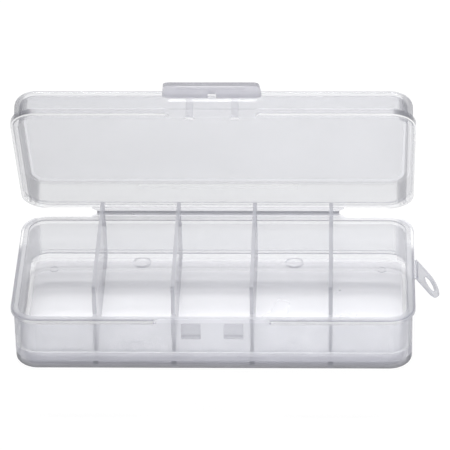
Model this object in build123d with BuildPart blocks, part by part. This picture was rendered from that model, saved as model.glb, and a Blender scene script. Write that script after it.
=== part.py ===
from build123d import *
import os
from math import atan2, cos, degrees, radians, sin

os.makedirs("parts", exist_ok=True)

# Lengths are in millimetres and angles in degrees.
# +X runs along the box to its right, +Y to the rear hinge, +Z up.
# The origin is the middle of the tray's footprint, on the surface it stands on.

# Outline that the tray and the lid share
rim_length = 138.0
rim_width = 64.0
rim_radius = 9.0
rim_out = 1.0
wall = 1.8
edge_round = 0.4

# Tray
tray_height = 21.0
cell_depth = 15.7
floor_thickness = 1.8
floor_fillet = 1.6
tray_rim_height = 1.5
tray_latch_gap = 38.0
foot_width = 3.0
foot_round = 1.2

# Ejector marks on the tray floor
ring_spacing_x = 54.0
ring_spacing_y = 50.8
ring_radius = 3.2
ring_line = 0.6
mark_height = 0.25
pip_spacing_x = 116.0
pip_spacing_y = 42.0
pip_radius = 1.5

# Dividers
divider_count = 4
divider_thickness = 1.3
divider_above_rim = 9.7
divider_inset = 2.6
divider_shoulder_drop = 1.0
divider_corner = 1.2

# Lid
lid_depth = 11.3
lid_panel = 1.3
lid_rim_height = 2.6
lid_latch_gap = 30.0
lid_crown = 3.2
lid_fillet = 1.8
rim_clearance = 0.2
lid_open_angle = 63.5

# Rear living hinge
hinge_gap = 2.2
hinge_length = 89.0
hinge_taper = 1.6
leaf_thickness = 0.8
bead_radius = 0.45
bead_clearance = 0.15

# Latch
latch_gap_flare = 1.0
lug_spacing = 14.5
lug_width = 6.6
lug_out = 1.2
lug_top_drop = 1.8
lug_ramp_end_drop = 5.5
lug_bottom_drop = 7.4
strap_spacing = 15.4
strap_width = 2.5
strap_thickness = 0.5
strap_length = 2.2
rib_out = 1.1
rib_overhang = 1.3
rib_side_clearance = 0.2
latch_bead_radius = 0.4
latch_pivot_height = 5.3
latch_pad_out = 0.55
latch_pad_flat_end = 5.4
latch_pad_ramp_end = 6.6
flap_width = 33.8
flap_taper = 0.9
flap_thickness = 1.3
flap_corner = 2.2
flap_lug_clearance = 0.35
flap_open_angle = 77.3
hook_length = 23.0
hook_depth = 1.0
hook_height = 1.3
hook_clearance = 0.25
notch_width = 2.9
notch_depth = 4.0

# Hang tab
tab_width = 10.7
tab_length = 12.9
tab_thickness = 0.9
tab_root_length = 0.6
tab_root_thickness = 0.7
tab_droop_angle = 53.0
tab_hole_radius = 3.2
tab_hole_distance = 7.7

# Sizes worked out from those above
shell_length = rim_length - 2 * rim_out
shell_width = rim_width - 2 * rim_out
shell_radius = rim_radius - rim_out
cavity_length = shell_length - 2 * wall
cavity_width = shell_width - 2 * wall
cavity_radius = shell_radius - wall
floor_top = tray_height - cell_depth
floor_bottom = floor_top - floor_thickness
front_wall_y = -shell_width / 2
cell_length = (cavity_length - divider_count * divider_thickness) / (divider_count + 1)
divider_pitch = cell_length + divider_thickness
hinge_y = rim_width / 2 + hinge_gap
hinge_z = tray_height + rim_clearance / 2
lid_rim_z = rim_clearance / 2
lid_mid = hinge_gap + rim_width / 2
lid_wall_far = hinge_gap + rim_width - rim_out

# Planes that move with the lid: y runs from the hinge to the latch, z out through the panel.
lid_plane = Plane(
    origin=(0, hinge_y, hinge_z),
    x_dir=(-1, 0, 0),
    z_dir=(0, sin(radians(lid_open_angle)), cos(radians(lid_open_angle))),
)
lid_section = Plane(origin=lid_plane.origin, x_dir=lid_plane.y_dir, z_dir=(-1, 0, 0))
lid_up = Axis(lid_plane.origin, lid_plane.z_dir)

# The latch turns about a line just outside the lid's front wall.
pivot_y = lid_wall_far + rib_out + latch_bead_radius / 2
pivot_z = lid_rim_z + latch_pivot_height
pivot = lid_plane.from_local_coords(Vector(0, pivot_y, pivot_z))
flap_angle = lid_open_angle - (90 - flap_open_angle)
flap_offset = lid_wall_far + lug_out + flap_lug_clearance - pivot_y
flap_normal = Vector(0, sin(radians(flap_angle)), cos(radians(flap_angle)))
flap_plane = Plane(origin=pivot, x_dir=(-1, 0, 0), z_dir=flap_normal)
flap_face = flap_plane.offset(flap_offset)
flap_reach = latch_pivot_height + rim_clearance + lug_bottom_drop + hook_clearance + hook_height
plate_length = flap_reach - strap_length
flap_side_angle = degrees(atan2(plate_length, flap_taper))

# The tab hangs from a short root on the right side of the tray's rim.
tab_axis_x = rim_length / 2 + tab_root_length
tab_axis_z = tray_height - tray_rim_height / 2
tab_plane = Plane(
    origin=(tab_axis_x, 0, tab_axis_z),
    x_dir=(cos(radians(tab_droop_angle)), 0, -sin(radians(tab_droop_angle))),
    z_dir=(sin(radians(tab_droop_angle)), 0, cos(radians(tab_droop_angle))),
)


def save(piece, name):
    """Name one finished sub-part and write its file."""
    piece.part.label = name
    export_step(piece.part, f"parts/{name}.step")


def rim_opening(gap_width):
    """Cut through a rim: the space for the walls, and the latch gap on the +y side."""
    half = gap_width / 2
    RectangleRounded(shell_length, shell_width, shell_radius)
    Polygon(
        (-half, 0),
        (half, 0),
        (half, shell_width / 2),
        (half + latch_gap_flare, rim_width / 2),
        (half + latch_gap_flare, rim_width),
        (-half - latch_gap_flare, rim_width),
        (-half - latch_gap_flare, rim_width / 2),
        (-half, shell_width / 2),
        align=None,
    )


def hinge_leaf():
    """Outline of one hinge leaf from the rim, at y = 0, out to the crease."""
    reach = hinge_gap - bead_radius - bead_clearance
    half = hinge_length / 2
    Polygon(
        (-half, 0),
        (half, 0),
        (half - hinge_taper, reach),
        (-half + hinge_taper, reach),
        align=None,
    )


# Tray shell: floor and walls in one, with rounded corners and a rounded mouth
with BuildPart() as tray_shell:
    with BuildSketch(Plane.XY.offset(floor_bottom)):
        RectangleRounded(shell_length, shell_width, shell_radius)
    extrude(amount=tray_height - floor_bottom)
    with BuildSketch(Plane.XY.offset(floor_top)):
        RectangleRounded(cavity_length, cavity_width, cavity_radius)
    extrude(amount=cell_depth, mode=Mode.SUBTRACT)
    fillet(tray_shell.edges().filter_by_position(Axis.Z, floor_top, floor_top), floor_fillet)
    mouth = tray_shell.faces().sort_by(Axis.Z)[-1].inner_wires()
    fillet(mouth.edges(), edge_round)
    with BuildSketch(Plane.XY.offset(floor_top)):
        with GridLocations(ring_spacing_x, ring_spacing_y, 2, 2):
            Circle(ring_radius)
            Circle(ring_radius - ring_line, mode=Mode.SUBTRACT)
        with GridLocations(pip_spacing_x, pip_spacing_y, 2, 2):
            Circle(pip_radius)
    extrude(amount=mark_height)
save(tray_shell, "tray_shell")

# Tray rim: a lip round the top of the walls, left out in front where the latch comes down
with BuildPart() as tray_rim:
    with BuildSketch(Plane.XY.offset(tray_height - tray_rim_height)):
        RectangleRounded(rim_length, rim_width, rim_radius)
    extrude(amount=tray_rim_height)
    fillet(tray_rim.edges().group_by(Axis.Z)[-1], edge_round)
    fillet(tray_rim.edges().group_by(Axis.Z)[0], edge_round)
    with BuildSketch(Plane.XY.offset(tray_height - tray_rim_height)):
        with Locations(Location((0, 0, 0), (0, 0, 180))):
            rim_opening(tray_latch_gap)
    extrude(amount=tray_rim_height, mode=Mode.SUBTRACT)
save(tray_rim, "tray_rim")

# Foot ring: the thick band round the tray's base, which the box stands on; the floor is raised
with BuildPart() as foot_ring:
    with BuildSketch():
        RectangleRounded(shell_length, shell_width, shell_radius)
    extrude(amount=floor_bottom)
    fillet(foot_ring.edges().group_by(Axis.Z)[0], foot_round)
    with BuildSketch():
        RectangleRounded(
            shell_length - 2 * foot_width, shell_width - 2 * foot_width, shell_radius - foot_width
        )
    extrude(amount=floor_bottom, mode=Mode.SUBTRACT)
save(foot_ring, "foot_ring")

# Dividers: one web between each pair of cells, narrower above the rim so that the lid clears it
for index in range(divider_count):
    divider_x = (index - (divider_count - 1) / 2) * divider_pitch
    shoulder_z = tray_height - divider_shoulder_drop
    divider_top = tray_height + divider_above_rim
    with BuildPart() as divider:
        with BuildSketch(Plane.YZ.offset(divider_x - divider_thickness / 2)) as web:
            with Locations((0, (floor_top + shoulder_z) / 2)):
                Rectangle(cavity_width, shoulder_z - floor_top)
            fillet(web.vertices().group_by(Axis.Y)[0], floor_fillet)
            with Locations((0, (shoulder_z + divider_top) / 2)):
                Rectangle(cavity_width - 2 * divider_inset, divider_top - shoulder_z)
            fillet(web.vertices().group_by(Axis.Y)[-1], divider_corner)
        extrude(amount=divider_thickness)
    save(divider, f"divider_{index + 1}")

# Catch lugs: two wedges on the front wall that the latch hooks under
for side, name in ((-1, "catch_lug_left"), (1, "catch_lug_right")):
    with BuildPart() as lug:
        with BuildSketch(Plane.YZ.offset(side * lug_spacing / 2 - lug_width / 2)):
            Polygon(
                (front_wall_y, tray_height - lug_top_drop),
                (front_wall_y, tray_height - lug_bottom_drop),
                (front_wall_y - lug_out, tray_height - lug_bottom_drop),
                (front_wall_y - lug_out, tray_height - lug_ramp_end_drop),
                align=None,
            )
        extrude(amount=lug_width)
    save(lug, name)

# Tray side of the rear hinge, a thin leaf level with the rim's top
with BuildPart() as tray_hinge_leaf:
    with BuildSketch(Plane.XY.offset(tray_height - leaf_thickness)):
        with Locations((0, rim_width / 2)):
            hinge_leaf()
    extrude(amount=leaf_thickness)
save(tray_hinge_leaf, "tray_hinge_leaf")

# Crease of the rear hinge, the line that the lid turns about
with BuildPart() as hinge_crease:
    with BuildSketch(Plane.YZ.offset(hinge_taper - hinge_length / 2)) as crease_end:
        with Locations((hinge_y, hinge_z)):
            Circle(bead_radius)
        with Locations((hinge_y - bead_radius - bead_clearance, tray_height - leaf_thickness)):
            Rectangle(bead_radius + bead_clearance, leaf_thickness, align=(Align.MIN, Align.MIN))
    extrude(amount=hinge_length - 2 * hinge_taper)
save(hinge_crease, "hinge_crease")

# Lid side of the rear hinge
with BuildPart() as lid_hinge_leaf:
    with BuildSketch(lid_plane.offset(lid_rim_z)):
        with Locations(Location((0, hinge_gap, 0), (0, 0, 180))):
            hinge_leaf()
    extrude(amount=leaf_thickness)
save(lid_hinge_leaf, "lid_hinge_leaf")

# Lid shell: panel and walls in one, crowned at its outer edge, with a raised pad on the front
# wall behind the latch. The pad starts level with the rim's top and ends in a ramp.
with BuildPart() as lid_shell:
    with BuildSketch(lid_plane.offset(lid_rim_z)):
        with Locations((0, lid_mid)):
            RectangleRounded(shell_length, shell_width, shell_radius)
    extrude(amount=lid_depth)
    fillet(lid_shell.edges().group_by(lid_up)[-1], lid_crown)
    with BuildSketch(lid_section.offset(-lid_latch_gap / 2)):
        Polygon(
            (lid_wall_far, lid_rim_z + lid_rim_height),
            (lid_wall_far + latch_pad_out, lid_rim_z + lid_rim_height),
            (lid_wall_far + latch_pad_out, lid_rim_z + latch_pad_flat_end),
            (lid_wall_far, lid_rim_z + latch_pad_ramp_end),
            align=None,
        )
    extrude(amount=lid_latch_gap)
    with BuildSketch(lid_plane.offset(lid_rim_z)):
        with Locations((0, lid_mid)):
            RectangleRounded(cavity_length, cavity_width, cavity_radius)
    extrude(amount=lid_depth - lid_panel, mode=Mode.SUBTRACT)
    panel_inside = lid_shell.faces().filter_by(lid_up).sort_by(lid_up)[-2]
    fillet(panel_inside.edges(), lid_fillet)
    lid_mouth = lid_shell.faces().filter_by(lid_up).sort_by(lid_up)[0].inner_wires()
    fillet(lid_mouth.edges(), edge_round)
save(lid_shell, "lid_shell")

# Lid rim: the matching lip, taller than the tray's
with BuildPart() as lid_rim:
    with BuildSketch(lid_plane.offset(lid_rim_z)):
        with Locations((0, lid_mid)):
            RectangleRounded(rim_length, rim_width, rim_radius)
    extrude(amount=lid_rim_height)
    fillet(lid_rim.edges().group_by(lid_up)[-1], edge_round)
    fillet(lid_rim.edges().group_by(lid_up)[0], edge_round)
    with BuildSketch(lid_plane.offset(lid_rim_z)):
        with Locations((0, lid_mid)):
            rim_opening(lid_latch_gap)
    extrude(amount=lid_rim_height, mode=Mode.SUBTRACT)
save(lid_rim, "lid_rim")

# Latch ribs: from the latch's crease down the lid's front wall and a little past the rim,
# where they guide the closed lid. The crease's bead is the rib's upper end.
for side, name in ((-1, "latch_rib_left"), (1, "latch_rib_right")):
    with BuildPart() as rib:
        with BuildSketch(lid_section.offset(-side * strap_spacing / 2 - strap_width / 2)):
            with Locations((lid_wall_far, lid_rim_z)):
                Rectangle(rib_out, latch_pivot_height, align=(Align.MIN, Align.MIN))
            with Locations((lid_wall_far + rib_side_clearance, lid_rim_z - rib_overhang)):
                Rectangle(
                    rib_out - rib_side_clearance, rib_overhang, align=(Align.MIN, Align.MIN)
                )
            with Locations((pivot_y, pivot_z)):
                Circle(latch_bead_radius)
        extrude(amount=strap_width)
        add(lid_shell.part, mode=Mode.SUBTRACT)
    save(rib, name)

# Latch straps: the thin webs that carry the flap
for side, name in ((-1, "latch_strap_left"), (1, "latch_strap_right")):
    strap_start = latch_bead_radius + bead_clearance
    with BuildPart() as strap:
        with BuildSketch(flap_face):
            with Locations((-side * strap_spacing / 2, (strap_start + strap_length) / 2)):
                Rectangle(strap_width, strap_length - strap_start)
        extrude(amount=strap_thickness)
    save(strap, name)

# Latch flap: the plate that folds down over the front, with a hook along its free edge
with BuildPart() as latch_flap:
    with BuildSketch(flap_face) as plate:
        with Locations((0, strap_length + plate_length / 2)):
            Trapezoid(flap_width, plate_length, flap_side_angle)
        fillet(plate.vertices(), flap_corner)
        with Locations((0, strap_length)):
            Rectangle(notch_width, notch_depth, align=(Align.CENTER, Align.MIN), mode=Mode.SUBTRACT)
    extrude(amount=flap_thickness)
    with BuildSketch(flap_face):
        with Locations((0, flap_reach - hook_height)):
            Rectangle(hook_length, hook_height, align=(Align.CENTER, Align.MIN))
    extrude(amount=-hook_depth)
save(latch_flap, "latch_flap")

# Hang tab root: the stub on the tray's right side, with the tab's crease at its end
with BuildPart() as tab_root:
    with BuildSketch(Plane.XZ.offset(-tab_width / 2)):
        with Locations((rim_length / 2, tab_axis_z)):
            Rectangle(tab_root_length, tab_root_thickness, align=(Align.MIN, Align.CENTER))
        with Locations((tab_axis_x, tab_axis_z)):
            Circle(bead_radius)
    extrude(amount=tab_width)
save(tab_root, "tab_root")

# Hang tab: a round-ended strap with a hole for a hook
with BuildPart() as hang_tab:
    tab_start = bead_radius + bead_clearance
    with BuildSketch(tab_plane.offset(-tab_thickness / 2)):
        with Locations(((tab_start + tab_length - tab_width / 2) / 2, 0)):
            Rectangle(tab_length - tab_width / 2 - tab_start, tab_width)
        with Locations((tab_length - tab_width / 2, 0)):
            Circle(tab_width / 2)
        with Locations((tab_hole_distance, 0)):
            Circle(tab_hole_radius, mode=Mode.SUBTRACT)
    extrude(amount=tab_thickness)
save(hang_tab, "hang_tab")
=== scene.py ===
"""A flat five-cell box with a hinged lid, all of it moulded from natural polypropylene.

The lid stands open and leans over the tray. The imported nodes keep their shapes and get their
finishes here; nothing is added to them.
"""

import math

import bpy
from mathutils import Matrix, Vector

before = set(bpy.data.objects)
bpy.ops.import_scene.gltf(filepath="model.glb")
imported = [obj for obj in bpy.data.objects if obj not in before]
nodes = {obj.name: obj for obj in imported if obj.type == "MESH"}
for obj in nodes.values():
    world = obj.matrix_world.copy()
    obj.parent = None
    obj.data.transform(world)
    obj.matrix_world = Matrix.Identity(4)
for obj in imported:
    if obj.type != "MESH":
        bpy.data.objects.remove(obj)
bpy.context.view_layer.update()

# How far the lid is opened from shut, how far the flap tilts and how far the tab droops, each
# with the direction that points straight out through its outer face.
LID_OPEN = math.radians(63.5)
LID_OUT = (0.0, math.sin(LID_OPEN), math.cos(LID_OPEN))
FLAP_TILT = math.radians(50.8)
FLAP_OUT = (0.0, math.sin(FLAP_TILT), math.cos(FLAP_TILT))
TAB_DROOP = math.radians(53.0)
TAB_OUT = (math.sin(TAB_DROOP), 0.0, math.cos(TAB_DROOP))

# Lengths in millimetres: a point on the lid's hinge, the way from there to the lid's middle,
# and the step from one divider to the next.
HINGE_AXIS = (0.0, 34.2, 21.1)
HINGE_TO_LID_MIDDLE = 34.2
LID_CENTRE = (
    0.0,
    HINGE_AXIS[1] - HINGE_TO_LID_MIDDLE * math.cos(LID_OPEN),
    HINGE_AXIS[2] + HINGE_TO_LID_MIDDLE * math.sin(LID_OPEN),
)
DIVIDER_PITCH = 26.74

# Sizes of the plastic's two patterns, in millimetres: the slow clouds where the melt flowed and
# cooled, and the fine haze of the mould's surface, drawn coarser than the real one.
CLOUD_SIZE = 14.0
HAZE_SIZE = 1.2

# What natural polypropylene's surface is like: its index, and the moulded skin's strong shine.
POLYPROPYLENE_IOR = 1.49
SKIN_SHINE = 0.8


def linear(code):
    """The linear colour of an sRGB hex value."""
    parts = [int(code[i : i + 2], 16) / 255 for i in (1, 3, 5)]
    return tuple(
        p / 12.92 if p <= 0.04045 else ((p + 0.055) / 1.055) ** 2.4 for p in parts
    ) + (1.0,)


def add(tree, kind, settings=None, links=None):
    """Adds a node, gives it its settings and joins the sockets that feed it."""
    made = tree.nodes.new(kind)
    for key, value in (settings or {}).items():
        if isinstance(key, str) and hasattr(made, key):
            setattr(made, key, value)
        else:
            made.inputs[key].default_value = value
    for key, source in (links or {}).items():
        tree.links.new(source, made.inputs[key])
    return made


def between(tree, value, low, high, soft):
    """1 where value lies from low to high, fading to 0 over soft outside them."""
    rise = add(tree, "ShaderNodeMapRange",
               {"interpolation_type": "SMOOTHSTEP", "From Min": low - soft, "From Max": low},
               {"Value": value})
    fall = add(tree, "ShaderNodeMapRange",
               {"interpolation_type": "SMOOTHSTEP", "From Min": high + soft, "From Max": high},
               {"Value": value})
    return add(tree, "ShaderNodeMath", {"operation": "MULTIPLY"},
               {0: rise.outputs["Result"], 1: fall.outputs["Result"]}).outputs[0]


def polypropylene(name, milk, clear, rough, shade=(0.7, 0.7), out=(0.0, 0.0, 1.0),
                  origin=(0.0, 0.0, 0.0), centre=(0.0, 0.0, 0.0), slant=(0.3, "#B4B5BC"), zones=()):
    """Natural polypropylene from a polished mould.

    It is see-through but milky: part of the light goes straight through a face and part is
    scattered to both sides. clear is the share that goes straight through a face seen square
    on. shade is the share of a lamp's light that a standing and a lying face let through.
    slant gives how much of clear is lost, and the tone, where a wall is seen at a slant.
    out is the direction that turn and height are measured along, from origin, and outward is
    more than 0 on faces that look away from centre. Each zone is a place on the moulding
    where its thickness or its turning wall changes the tone, or where a highlight or a shade is
    painted into the tone: (limits, colour, clear), with limits of (measure, low, high, soft) in
    millimetres or as parts of 1, and with a roughness at the end where the mould's polish is
    duller.
    """
    mat = bpy.data.materials.new(name)
    mat.use_nodes = True
    tree = mat.node_tree
    tree.nodes.clear()
    place = add(tree, "ShaderNodeTexCoord")
    in_mm = add(tree, "ShaderNodeVectorMath", {"operation": "SCALE", "Scale": 1000.0},
                {0: place.outputs["Object"]}).outputs[0]
    facing = place.outputs["Normal"]

    def dot(vector, other):
        return add(tree, "ShaderNodeVectorMath", {"operation": "DOT_PRODUCT", 1: other},
                   {0: vector}).outputs["Value"]

    def less(vector, other):
        return add(tree, "ShaderNodeVectorMath", {"operation": "SUBTRACT", 1: other},
                   {0: vector}).outputs[0]

    def maths(operation, value, other=None):
        settings = {"operation": operation} | ({} if other is None else {1: other})
        return add(tree, "ShaderNodeMath", settings, {0: value}).outputs[0]

    turn = dot(facing, out)
    outward = add(tree, "ShaderNodeVectorMath", {"operation": "DOT_PRODUCT"},
                  {0: facing, 1: less(in_mm, centre)}).outputs["Value"]
    lane = maths("ADD", dot(in_mm, (1, 0, 0)), DIVIDER_PITCH / 2)
    measures = {
        "height": dot(less(in_mm, origin), out),
        "turn": turn,
        "side": maths("ABSOLUTE", dot(facing, (1, 0, 0))),
        "along": maths("ABSOLUTE", dot(in_mm, (1, 0, 0))),
        "back": dot(in_mm, (0, 1, 0)),
        "outward": outward,
        "lane": maths("PINGPONG", lane, DIVIDER_PITCH / 2),
    }

    flow = add(tree, "ShaderNodeTexNoise", {"Scale": 1 / CLOUD_SIZE, "Detail": 2.0},
               {"Vector": in_mm})
    haze = add(tree, "ShaderNodeTexNoise", {"Scale": 1 / HAZE_SIZE, "Detail": 3.0},
               {"Vector": in_mm})

    weight = add(tree, "ShaderNodeLayerWeight", {"Blend": 0.5})
    steep = maths("POWER", weight.outputs["Facing"], 3.0)
    tone = add(tree, "ShaderNodeMix", {"data_type": "RGBA", 6: linear(milk), 7: linear(slant[1])},
               {0: steep}).outputs[2]
    share = add(tree, "ShaderNodeMapRange", {"To Min": clear, "To Max": clear * (1 - slant[0])},
                {"Value": steep}).outputs["Result"]
    dull = add(tree, "ShaderNodeMapRange", {"To Min": rough - 0.01, "To Max": rough + 0.02},
               {"Value": haze.outputs["Fac"]}).outputs["Result"]
    for limits, colour, zone_clear, *zone_rough in zones:
        mask = None
        for measure, low, high, soft in limits:
            part = between(tree, measures[measure], low, high, soft)
            mask = part if mask is None else add(
                tree, "ShaderNodeMath", {"operation": "MULTIPLY"}, {0: mask, 1: part}).outputs[0]
        tone = add(tree, "ShaderNodeMix", {"data_type": "RGBA", 7: linear(colour)},
                   {0: mask, 6: tone}).outputs[2]
        share = add(tree, "ShaderNodeMix", {"data_type": "FLOAT", 3: zone_clear},
                    {0: mask, 2: share}).outputs[0]
        if zone_rough:
            dull = add(tree, "ShaderNodeMix", {"data_type": "FLOAT", 3: zone_rough[0]},
                       {0: mask, 2: dull}).outputs[0]

    cloud = add(tree, "ShaderNodeMapRange", {"To Min": 0.93, "To Max": 1.06},
                {"Value": flow.outputs["Fac"]})
    # The left end is a little greyer: painted shade, darker towards the left end.
    end = add(tree, "ShaderNodeMapRange",
              {"From Min": -69.0, "From Max": 20.0, "To Min": 0.87, "To Max": 1.0},
              {"Value": dot(in_mm, (1, 0, 0))})
    grey = add(tree, "ShaderNodeMath", {"operation": "MULTIPLY"},
               {0: cloud.outputs["Result"], 1: end.outputs["Result"]})
    milk_and_painted_light = add(tree, "ShaderNodeVectorMath", {"operation": "SCALE"},
                    {0: tone, "Scale": grey.outputs[0]})
    ripple = add(tree, "ShaderNodeBump", {"Strength": 0.1, "Distance": 0.00008},
                 {"Height": flow.outputs["Fac"]})
    skin = add(tree, "ShaderNodeBsdfPrincipled",
               {"IOR": POLYPROPYLENE_IOR, "Specular IOR Level": SKIN_SHINE},
               {"Base Color": milk_and_painted_light.outputs[0], "Roughness": dull,
                "Normal": ripple.outputs["Normal"]})
    glow = add(tree, "ShaderNodeBsdfTranslucent", None,
               {"Color": milk_and_painted_light.outputs[0], "Normal": ripple.outputs["Normal"]})
    body = add(tree, "ShaderNodeMixShader", {0: 0.5}, {1: skin.outputs[0], 2: glow.outputs[0]})
    straight = add(tree, "ShaderNodeBsdfTransparent", {"Color": (1, 1, 1, 1)})
    wall = add(tree, "ShaderNodeMixShader", None,
               {0: share, 1: body.outputs[0], 2: straight.outputs[0]})
    # A lamp's light is mostly bent only a little on its way through, so more of it arrives.
    arrives = add(tree, "ShaderNodeMapRange", {"To Min": shade[0], "To Max": shade[1]},
                  {"Value": maths("ABSOLUTE", turn)})
    cast = add(tree, "ShaderNodeBsdfTransparent", None, {"Color": arrives.outputs["Result"]})
    path = add(tree, "ShaderNodeLightPath")
    whole = add(tree, "ShaderNodeMixShader", None,
                {0: path.outputs["Is Shadow Ray"], 1: wall.outputs[0], 2: cast.outputs[0]})
    add(tree, "ShaderNodeOutputMaterial", None, {"Surface": whole.outputs[0]})
    return mat


# Every piece below is the same plastic. What differs is how thick it is and which way it faces,
# and that shows as a change of tone; many zones also hold painted highlights and painted shade,
# set by which way a face looks and how close it lies to other walls.

# Tray: a glossy, milky wall.
TRAY = polypropylene(
    "tray_polypropylene", "#D1D2D7", 0.66, 0.15, shade=(0.6, 0.9), slant=(0.35, "#ABACB4"),
    zones=[
        # the outer walls, and the end walls, which are seen at a slant
        ([("turn", -0.1, 0.1, 0.1), ("outward", 8.0, 90.0, 4.0)], "#C6C7CD", 0.6, 0.3),
        ([("side", 0.6, 1.1, 0.25)], "#BBBCC3", 0.55, 0.35),
        # the floor, with a painted highlight beside the back wall, and its underside
        ([("turn", 0.97, 1.1, 0.02), ("height", 5.0, 6.0, 0.1)], "#C6C6CC", 0.74),
        ([("turn", 0.97, 1.1, 0.02), ("height", 5.0, 6.0, 0.1), ("back", 26.7, 32.0, 0.7)],
         "#FFFFFF", 0.9),
        ([("turn", -1.1, -0.97, 0.02)], "#E6E6EB", 0.8),
        # the curve from wall to floor, with a painted highlight on it, and painted shade on it in
        # front
        ([("height", 5.3, 6.8, 0.1), ("turn", 0.15, 0.93, 0.05)], "#FFFFFF", 0.95, 0.3),
        ([("height", 5.3, 7.0, 0.1), ("turn", -0.1, 0.93, 0.05), ("back", -40.0, -24.0, 2.0)],
         "#9FA0A8", 0.8, 0.6),
        # the thin dark line above that curve, a painted shade line
        ([("height", 6.75, 7.0, 0.06), ("turn", -0.1, 0.15, 0.1)], "#A3A4AC", 0.4),
        # the mouth, painted lighter at the back as painted light, and its dark edge, a painted
        # shade line
        ([("height", 19.6, 22.0, 0.3)], "#D3D4DA", 0.62, 0.6),
        ([("height", 19.6, 22.0, 0.3), ("back", 18.0, 90.0, 6.0)], "#F6F6FA", 0.84, 0.4),
        ([("height", 20.5, 20.95, 0.05), ("turn", 0.1, 0.85, 0.1)], "#A3A4AC", 0.45, 0.6),
        # the sides of the raised marks on the floor
        ([("height", 5.33, 5.56, 0.02), ("turn", -0.6, 0.6, 0.1)], "#8E8F97", 0.3),
        # the band of the outer walls beside the floor's thickness, painted darker as shade under
        # the floor
        ([("height", -1.0, 6.9, 0.2), ("outward", 8.0, 90.0, 4.0)], "#B6B6C0", 0.35, 0.4),
    ],
)
# Tray's lip: thick, so it is the least clear part, and painted the whitest, a painted highlight
# on its faces; its top is duller.
RIM = polypropylene(
    "tray_rim_polypropylene", "#FFFFFF", 0.25, 0.12, shade=(0.15, 0.15), slant=(0.2, "#E8E8EC"),
    zones=[
        # its top, painted darker in front and lighter at the back: painted shade and painted light
        ([("turn", 0.6, 1.1, 0.2)], "#ABABB4", 0.42, 0.6),
        ([("turn", 0.6, 1.1, 0.2), ("back", 16.0, 90.0, 6.0)], "#FFFFFF", 0.85, 0.3),
        # its ends beside the box, and where it stops for the latch
        ([("side", 0.6, 1.1, 0.25), ("turn", -1.1, 0.8, 0.1)], "#D8D9DF", 0.4, 0.3),
        ([("side", 0.6, 1.1, 0.25), ("along", 20.0, 40.0, 4.0)], "#F0F0F4", 0.92),
    ],
)
# Foot: thick, with its outer face painted the darkest part: painted shade from the surface below,
# deepest low down and where a divider stands behind it.
FOOT = polypropylene(
    "foot_polypropylene", "#E6E6EB", 0.85, 0.2, shade=(0.8, 0.8), slant=(0.1, "#E6E6EB"),
    zones=[
        ([("outward", 8.0, 90.0, 4.0)], "#BBBBC4", 0.2),
        ([("outward", 8.0, 90.0, 4.0), ("height", -1.0, 1.0, 2.8)], "#87888D", 0.15),
        ([("outward", 8.0, 90.0, 4.0), ("height", -1.0, 4.0, 1.2), ("lane", -1.0, 0.4, 1.0)],
         "#8B8C93", 0.15),
        ([("outward", 8.0, 90.0, 4.0), ("height", -1.0, 0.3, 0.8)], "#6E6F74", 0.1),
    ],
)
# Dividers: clear and slightly dull webs, whose thin edges show as grey lines.
DIVIDER = polypropylene(
    "divider_polypropylene", "#DEDEE3", 0.85, 0.4, shade=(0.9, 0.8), slant=(0.1, "#D0D0D6"),
    zones=[([("side", -0.1, 0.5, 0.3)], "#A3A4AC", 0.45)],
)
# Lid: an even, glossy panel inside lighter walls.
LID = polypropylene(
    "lid_polypropylene", "#B9BABF", 0.6, 0.16, shade=(0.7, 0.93), out=LID_OUT,
    origin=HINGE_AXIS, centre=LID_CENTRE, slant=(0.2, "#B8B9BF"),
    zones=[
        # the walls inside, then outside, each with the one behind the latch painted lighter, as
        # painted light
        ([("turn", -0.25, 0.25, 0.1), ("outward", -90.0, -8.0, 4.0)], "#CDCED3", 0.69),
        ([("turn", -0.25, 0.25, 0.1), ("outward", -90.0, -8.0, 4.0), ("back", -9.0, 12.0, 2.0)],
         "#DADBE0", 0.76),
        ([("turn", -0.25, 0.25, 0.1), ("outward", 8.0, 90.0, 4.0)], "#DDDDE2", 0.85),
        ([("turn", -0.25, 0.25, 0.1), ("outward", 8.0, 90.0, 4.0), ("back", -9.0, 12.0, 2.0)],
         "#F0F0F4", 0.92),
        # the end walls, and the ends of the pad behind the flap
        ([("side", 0.6, 1.1, 0.2), ("along", 50.0, 90.0, 4.0)], "#9A9BA2", 0.51, 0.5),
        ([("side", 0.6, 1.1, 0.2), ("along", 12.0, 40.0, 2.0)], "#E6E6EB", 0.9),
        # the painted highlight, a bright line across the wall under the flap
        ([("height", 7.8, 8.3, 0.1), ("outward", -90.0, -8.0, 4.0), ("along", -1.0, 28.0, 0.3)],
         "#FFFFFF", 0.3),
        # the painted highlight line round the panel, and the dark line just inside the mouth
        ([("height", 9.5, 9.97, 0.03), ("turn", -0.97, -0.5, 0.03)], "#D3D4DA", 0.6),
        ([("height", 0.95, 1.25, 0.05), ("outward", -90.0, -8.0, 4.0)], "#A8A9B0", 0.45),
        # the mouth's face, and the pad's ramp, painted white as a painted highlight
        ([("height", -0.2, 0.3, 0.1), ("turn", -1.1, -0.9, 0.1)], "#F2F2F6", 0.88),
        ([("height", 5.3, 6.9, 0.1), ("turn", 0.3, 0.55, 0.05)], "#FFFFFF", 0.75),
    ],
)
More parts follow.
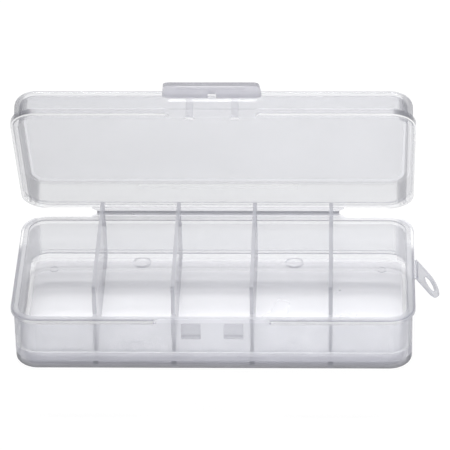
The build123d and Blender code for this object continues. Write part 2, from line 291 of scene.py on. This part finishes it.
# Lid's lip: clear and dull, drawn by painted highlights on its edges and by its darker sides.
LID_RIM = polypropylene(
    "lid_rim_polypropylene", "#F4F4F8", 0.88, 0.4, shade=(0.7, 0.7), out=LID_OUT,
    origin=HINGE_AXIS, centre=LID_CENTRE, slant=(0.2, "#C9CAD0"),
    zones=[
        # the edge towards the mouth, the mouth's face, and the edge towards the panel, with painted
        # highlights on the two edges
        ([("turn", -0.93, -0.25, 0.05)], "#EDEDF1", 0.45),
        ([("turn", -1.1, -0.97, 0.02)], "#F2F2F6", 0.85),
        ([("turn", 0.25, 0.93, 0.05)], "#F4F4F8", 0.5),
        # the sides of the box, and the mouth's face there
        ([("side", 0.3, 1.1, 0.3)], "#96979E", 0.48),
        ([("turn", -1.1, -0.2, 0.05), ("along", 62.0, 90.0, 3.0)], "#B4B5BB", 0.6, 0.5),
        # the inside, and the ends where it stops for the latch
        ([("outward", -90.0, -8.0, 4.0)], "#EDEDF1", 0.94),
        ([("side", 0.4, 1.1, 0.2), ("along", 12.0, 40.0, 2.0)], "#EDEDF1", 0.94),
        # the white line along the mouth in front, a painted highlight
        ([("height", 0.0, 0.45, 0.05), ("outward", 8.0, 90.0, 4.0), ("back", -9.0, 12.0, 2.0)],
         "#FFFFFF", 0.0),
    ],
)
# Rear hinge: two thin pale leaves with a darker crease between them, where the plastic is bent.
HINGE = polypropylene("hinge_polypropylene", "#DDDDE2", 0.68, 0.3, slant=(0.1, "#DDDDE2"))
CREASE = polypropylene("crease_polypropylene", "#94959D", 0.35, 0.3, slant=(0.3, "#94959D"))
# Latch flap: a grey, glossy plate with darker edges, but for the hook's, which are pale.
LATCH = polypropylene(
    "latch_polypropylene", "#BDBCC4", 0.42, 0.12, out=FLAP_OUT,
    zones=[
        ([("turn", -0.8, 0.8, 0.1)], "#A3A3AB", 0.4),
        ([("turn", -0.8, 0.8, 0.1), ("height", 55.0, 59.95, 0.05)], "#DDDDE3", 0.88),
    ],
)
# Ribs and straps: pale bars with darker sides and a white lower end, a painted highlight.
RIB = polypropylene(
    "rib_polypropylene", "#EAEAEF", 0.74, 0.12, out=LID_OUT, origin=HINGE_AXIS,
    slant=(0.2, "#D0D0D6"),
    zones=[
        ([("side", 0.6, 1.1, 0.2)], "#B4B5BD", 0.6),
        # the white lower end: a painted highlight
        ([("turn", -1.1, -0.8, 0.1), ("height", -2.0, 0.0, 0.1)], "#FFFFFF", 0.1),
    ],
)
# Lugs: pale wedges, with painted shade underneath and on their upright faces.
LUG = polypropylene(
    "lug_polypropylene", "#F0F0F5", 0.74, 0.12,
    zones=[
        ([("turn", -1.1, -0.9, 0.05)], "#B4B5BD", 0.5),
        ([("turn", -0.05, 0.1, 0.05)], "#B4B5BD", 0.6),
    ],
)
# Hang tab: a pale, thin strap with a grey edge.
TAB = polypropylene(
    "tab_polypropylene", "#E2E2E7", 0.6, 0.15, out=TAB_OUT,
    zones=[([("turn", -0.8, 0.8, 0.1)], "#B9BAC2", 0.4)],
)

MADE_OF = [
    (TRAY, ["tray_shell"]),
    (RIM, ["tray_rim"]),
    (FOOT, ["foot_ring"]),
    (DIVIDER, ["divider_1", "divider_2", "divider_3", "divider_4"]),
    (LID, ["lid_shell"]),
    (LID_RIM, ["lid_rim"]),
    (HINGE, ["tray_hinge_leaf", "lid_hinge_leaf"]),
    (CREASE, ["hinge_crease"]),
    (LATCH, ["latch_flap"]),
    (RIB, ["latch_rib_left", "latch_rib_right", "latch_strap_left", "latch_strap_right"]),
    (LUG, ["catch_lug_left", "catch_lug_right"]),
    (TAB, ["tab_root", "hang_tab"]),
]
for finish, members in MADE_OF:
    for member in members:
        slots = nodes[member].data.materials
        slots.clear()
        slots.append(finish)


def seen_directly(tree):
    """1 for rays from the camera, a mirror or glass, and 0 for those that light the box."""
    path = add(tree, "ShaderNodeLightPath")
    direct = add(tree, "ShaderNodeMath", {"operation": "MAXIMUM"},
                 {0: path.outputs["Is Camera Ray"], 1: path.outputs["Is Glossy Ray"]})
    return add(tree, "ShaderNodeMath", {"operation": "MAXIMUM"},
               {0: direct.outputs[0], 1: path.outputs["Is Transmission Ray"]}).outputs[0]


def stage_floor():
    """A pale floor, white to the camera, on which a faint shadow of the box still shows."""
    mesh = bpy.data.meshes.new("pale_floor")
    reach = 3.0
    corners = [(-reach, -reach, 0), (reach, -reach, 0), (reach, reach, 0), (-reach, reach, 0)]
    mesh.from_pydata(corners, [], [(0, 1, 2, 3)])
    floor = bpy.data.objects.new("pale_floor", mesh)
    bpy.context.scene.collection.objects.link(floor)
    mat = bpy.data.materials.new("pale_floor_paint")
    mat.use_nodes = True
    tree = mat.node_tree
    tree.nodes.clear()
    path = add(tree, "ShaderNodeLightPath")
    in_the_open = add(tree, "ShaderNodeMapRange", {"To Min": 0.85, "To Max": 0.0},
                      {"Value": path.outputs["Transparent Depth"]})
    faint = add(tree, "ShaderNodeMath", {"operation": "MULTIPLY"},
                {0: seen_directly(tree), 1: in_the_open.outputs["Result"]})
    paint = add(tree, "ShaderNodeBsdfDiffuse", {"Color": linear("#F2F2F2")})
    plain = add(tree, "ShaderNodeEmission", {"Color": linear("#FFFFFF"), "Strength": 1.05})
    top = add(tree, "ShaderNodeMixShader", None,
              {0: faint.outputs[0], 1: paint.outputs[0], 2: plain.outputs[0]})
    add(tree, "ShaderNodeOutputMaterial", None, {"Surface": top.outputs[0]})
    mesh.materials.append(mat)


def studio():
    """White surroundings to the camera, softer light on the box, and two lamps."""
    world = bpy.data.worlds.new("studio")
    bpy.context.scene.world = world
    world.use_nodes = True
    tree = world.node_tree
    tree.nodes.clear()
    room = add(tree, "ShaderNodeMapRange", {"To Min": 0.565, "To Max": 1.0},
               {"Value": seen_directly(tree)})
    light = add(tree, "ShaderNodeBackground", {"Color": linear("#FFFFFF")},
                {"Strength": room.outputs["Result"]})
    add(tree, "ShaderNodeOutputWorld", None, {"Surface": light.outputs[0]})
    target = Vector((0.0, 0.0, 0.02))
    # name, elevation (past 90 is behind the box), distance, width, height, power, in reflections
    for name, rise, far, wide, high, power, shines in [
        ("strip_behind", 142.1, 3.0, 2.2, 0.12, 78.5, True),
        ("lamp_front", 57.0, 1.2, 0.3, 0.15, 2.7, False),
    ]:
        data = bpy.data.lights.new(name, "AREA")
        data.shape = "RECTANGLE"
        data.size = wide
        data.size_y = high
        data.energy = power
        lamp = bpy.data.objects.new(name, data)
        bpy.context.scene.collection.objects.link(lamp)
        angle = math.radians(rise)
        lamp.location = target + far * Vector((0.0, -math.cos(angle), math.sin(angle)))
        lamp.rotation_euler = (target - lamp.location).to_track_quat("-Z", "Y").to_euler()
        lamp.visible_glossy = shines


def camera():
    """The photograph's view: 34 degrees down, a touch from the right, slightly rolled."""
    turn, fall, roll = math.radians(2.445), math.radians(34.0), math.radians(-1.257)
    target = Vector((0.003808, 0.0, 0.038637))
    distance = 1.179883
    sensor_width = 36.0
    focal_to_width = 3439.47 / 450
    away = Vector((
        math.sin(turn) * math.cos(fall), -math.cos(turn) * math.cos(fall), math.sin(fall)))
    right = (-away).cross(Vector((0, 0, 1))).normalized()
    up = away.cross(right)
    side = math.cos(roll) * right + math.sin(roll) * up
    top = -math.sin(roll) * right + math.cos(roll) * up
    data = bpy.data.cameras.new("camera")
    data.sensor_width = sensor_width
    data.lens = sensor_width * focal_to_width
    data.clip_end = 20.0
    eye = bpy.data.objects.new("camera", data)
    bpy.context.scene.collection.objects.link(eye)
    turned = Matrix((side, top, away)).transposed().to_4x4()
    eye.matrix_world = Matrix.Translation(target + distance * away) @ turned
    bpy.context.scene.camera = eye


stage_floor()
studio()
camera()
bpy.context.scene.view_settings.view_transform = "Standard"
bpy.context.scene.cycles.transparent_max_bounces = 32
